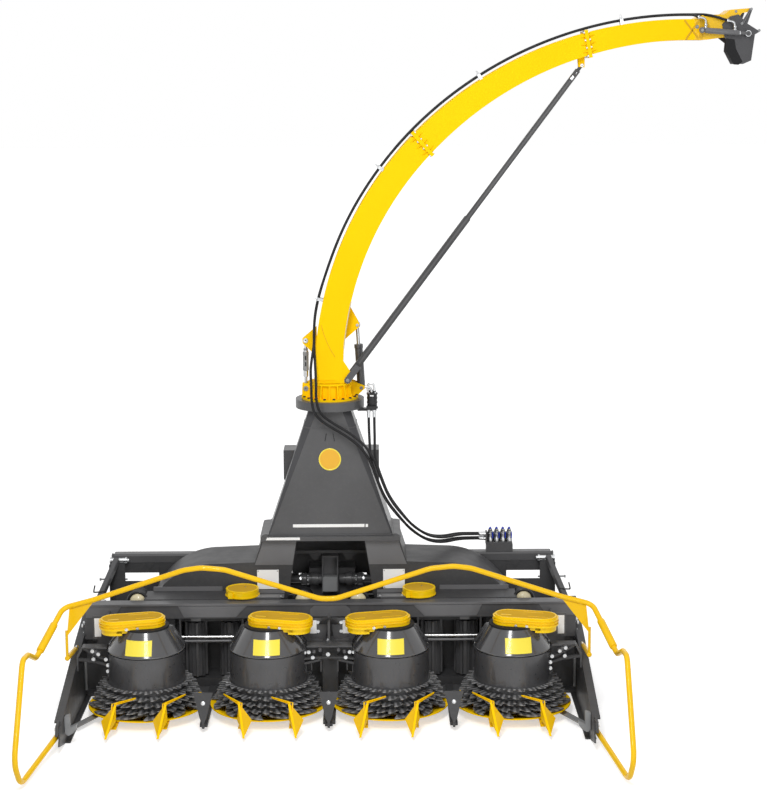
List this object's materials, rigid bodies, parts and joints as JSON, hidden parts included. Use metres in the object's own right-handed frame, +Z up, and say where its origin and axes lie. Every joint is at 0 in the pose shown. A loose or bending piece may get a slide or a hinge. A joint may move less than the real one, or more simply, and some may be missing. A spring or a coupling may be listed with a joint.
{
  "type": "tractor-mounted forage harvester",
  "caption": "Tractor-mounted row-independent maize harvester with toothed rotors, flywheel choppers, a pyramid chute and a turning, folding spout.",
  "frame": {"origin": "sole of the centre skid, in the plane of the rotors' axes", "axes": "+Z up, +Y towards the tractor along the PTO shaft, +X to the right as seen from the crop side"},
  "size_m": [4.676, 2.884, 4.547],
  "materials": {
    "dark_grey_paint": "satin dark grey paint",
    "mid_grey_paint": "satin mid grey paint",
    "yellow_paint": "glossy yellow paint",
    "rotor_steel": "dark paint, worn bright at the tips",
    "bare_steel": "zinc-plated steel",
    "chrome": "hard-chromed piston rod",
    "black_rubber": "matt black rubber hose",
    "cream_plastic": "cream plastic cover"
  },
  "bodies": {
    "frame": {"back_panels": "dark_grey_paint", "centre_skid": "dark_grey_paint", "chopper_housings": "dark_grey_paint", "coupler_stand": "dark_grey_paint", "crop_guard": "yellow_paint", "divider_fins": "yellow_paint", "drive_tubes": "dark_grey_paint", "drum_hoods": "dark_grey_paint", "feed_boxes": "dark_grey_paint", "floor_pan": "dark_grey_paint", "front_beam": "dark_grey_paint", "gearbox": "dark_grey_paint", "guard_domes": "cream_plastic", "guard_supports": "yellow_paint", "headstock": "dark_grey_paint", "hitch_plates": "dark_grey_paint", "hood_caps": "yellow_paint", "hose_motor_1": "black_rubber", "hose_motor_2": "black_rubber", "hose_spout_1": "black_rubber", "hose_spout_2": "black_rubber", "pin_sleeves": "bare_steel", "pto_shaft": "bare_steel", "rear_bar": "dark_grey_paint", "roller_caps": "yellow_paint", "shaft_guards": "dark_grey_paint", "side_plates": "dark_grey_paint", "side_shoes": "bare_steel", "side_struts": "dark_grey_paint", "skid_dishes": "yellow_paint", "strippers": "dark_grey_paint", "swivel_motor": "dark_grey_paint", "throat_bars": "bare_steel", "tongues": "dark_grey_paint", "tower_chute": "dark_grey_paint", "turntable_ring": "dark_grey_paint"},
    "rotor_1": {"rotor_1": "rotor_steel"},
    "rotor_2": {"rotor_2": "rotor_steel"},
    "rotor_3": {"rotor_3": "rotor_steel"},
    "rotor_4": {"rotor_4": "rotor_steel"},
    "feed_roller_1": {"feed_roller_1": "dark_grey_paint"},
    "feed_roller_2": {"feed_roller_2": "dark_grey_paint"},
    "feed_roller_3": {"feed_roller_3": "dark_grey_paint"},
    "feed_roller_4": {"feed_roller_4": "dark_grey_paint"},
    "turret": {"spout_collar": "yellow_paint"},
    "spout": {"spout_lower": "yellow_paint", "spout_middle": "yellow_paint", "spout_upper": "yellow_paint", "spout_tip_hood": "yellow_paint", "spout_strut": "mid_grey_paint", "turnbuckle": "bare_steel", "spout_hoses": "black_rubber"},
    "tilt_barrel": {"tilt_cylinder": "mid_grey_paint"},
    "tilt_piston": {"tilt_rod": "chrome"},
    "flap": {"spout_flap": "mid_grey_paint"},
    "flap_barrel": {"flap_cylinder": "mid_grey_paint"},
    "flap_piston": {"flap_rod": "chrome"},
    "stand_left": {"stand_left": "dark_grey_paint"},
    "stand_right": {"stand_right": "dark_grey_paint"}
  },
  "joints": [
    {"name": "rotor_1_spin", "type": "hinge", "parent": "frame", "child": "rotor_1", "pos_m": [-1.2, 0, 0.086], "axis": [0, 0, 1], "continuous": true},
    {"name": "rotor_2_spin", "type": "hinge", "parent": "frame", "child": "rotor_2", "pos_m": [-0.4, 0, 0.086], "axis": [0, 0, 1], "continuous": true},
    {"name": "rotor_3_spin", "type": "hinge", "parent": "frame", "child": "rotor_3", "pos_m": [0.4, 0, 0.086], "axis": [0, 0, 1], "continuous": true},
    {"name": "rotor_4_spin", "type": "hinge", "parent": "frame", "child": "rotor_4", "pos_m": [1.2, 0, 0.086], "axis": [0, 0, 1], "continuous": true},
    {"name": "feed_roller_1_spin", "type": "hinge", "parent": "frame", "child": "feed_roller_1", "pos_m": [-0.92, 0.5, 0.1], "axis": [0, 0, 1], "continuous": true},
    {"name": "feed_roller_2_spin", "type": "hinge", "parent": "frame", "child": "feed_roller_2", "pos_m": [-0.68, 0.5, 0.1], "axis": [0, 0, 1], "continuous": true},
    {"name": "feed_roller_3_spin", "type": "hinge", "parent": "frame", "child": "feed_roller_3", "pos_m": [0.68, 0.5, 0.1], "axis": [0, 0, 1], "continuous": true},
    {"name": "feed_roller_4_spin", "type": "hinge", "parent": "frame", "child": "feed_roller_4", "pos_m": [0.92, 0.5, 0.1], "axis": [0, 0, 1], "continuous": true},
    {"name": "spout_turn", "type": "hinge", "parent": "frame", "child": "turret", "pos_m": [0, 0.87, 1.945], "axis": [0, 0, 1], "range_deg": [-110, 110]},
    {"name": "spout_tilt", "type": "hinge", "parent": "turret", "child": "spout", "pos_m": [0.125, 0.84, 2.085], "axis": [0, 1, 0], "range_deg": [0, 40]},
    {"name": "tilt_barrel_swing", "type": "hinge", "parent": "turret", "child": "tilt_barrel", "pos_m": [0.216, 0.92, 2.01], "axis": [0, 1, 0], "range_deg": [0, 35.14]},
    {"name": "tilt_rod_slide", "type": "slide", "parent": "tilt_barrel", "child": "tilt_piston", "axis": [-0.0576, 0, 0.9983], "range_m": [-0.0733, 0]},
    {"name": "flap_swing", "type": "hinge", "parent": "spout", "child": "flap", "pos_m": [2.68, 0.87, 4.45], "axis": [0, -1, 0], "range_deg": [0, 40]},
    {"name": "flap_barrel_swing", "type": "hinge", "parent": "spout", "child": "flap_barrel", "pos_m": [2.47, 0.71, 4.405], "axis": [0, -1, 0], "range_deg": [0, 13.66]},
    {"name": "flap_rod_slide", "type": "slide", "parent": "flap_barrel", "child": "flap_piston", "axis": [0.9971, 0, -0.0757], "range_m": [0, 0.0256]},
    {"name": "stand_left_slide", "type": "slide", "parent": "frame", "child": "stand_left", "axis": [0, 0, 1], "range_m": [0, 0.3]},
    {"name": "stand_right_slide", "type": "slide", "parent": "frame", "child": "stand_right", "axis": [0, 0, 1], "range_m": [0, 0.3]}
  ],
  "couplings": [
    {"joint": "rotor_2_spin", "follows": "rotor_1_spin", "ratio": -1},
    {"joint": "rotor_3_spin", "follows": "rotor_1_spin", "ratio": 1},
    {"joint": "rotor_4_spin", "follows": "rotor_1_spin", "ratio": -1},
    {"joint": "feed_roller_1_spin", "follows": "rotor_1_spin", "ratio": 3},
    {"joint": "feed_roller_2_spin", "follows": "rotor_1_spin", "ratio": -3},
    {"joint": "feed_roller_3_spin", "follows": "rotor_1_spin", "ratio": 3},
    {"joint": "feed_roller_4_spin", "follows": "rotor_1_spin", "ratio": -3},
    {"joint": "tilt_barrel_swing", "follows": "spout_tilt", "ratio": 0.876},
    {"joint": "tilt_rod_slide", "follows": "spout_tilt", "m_per_rad": -0.1046},
    {"joint": "flap_barrel_swing", "follows": "flap_swing", "ratio": 0.339},
    {"joint": "flap_rod_slide", "follows": "flap_swing", "m_per_rad": 0.0362}
  ]
}
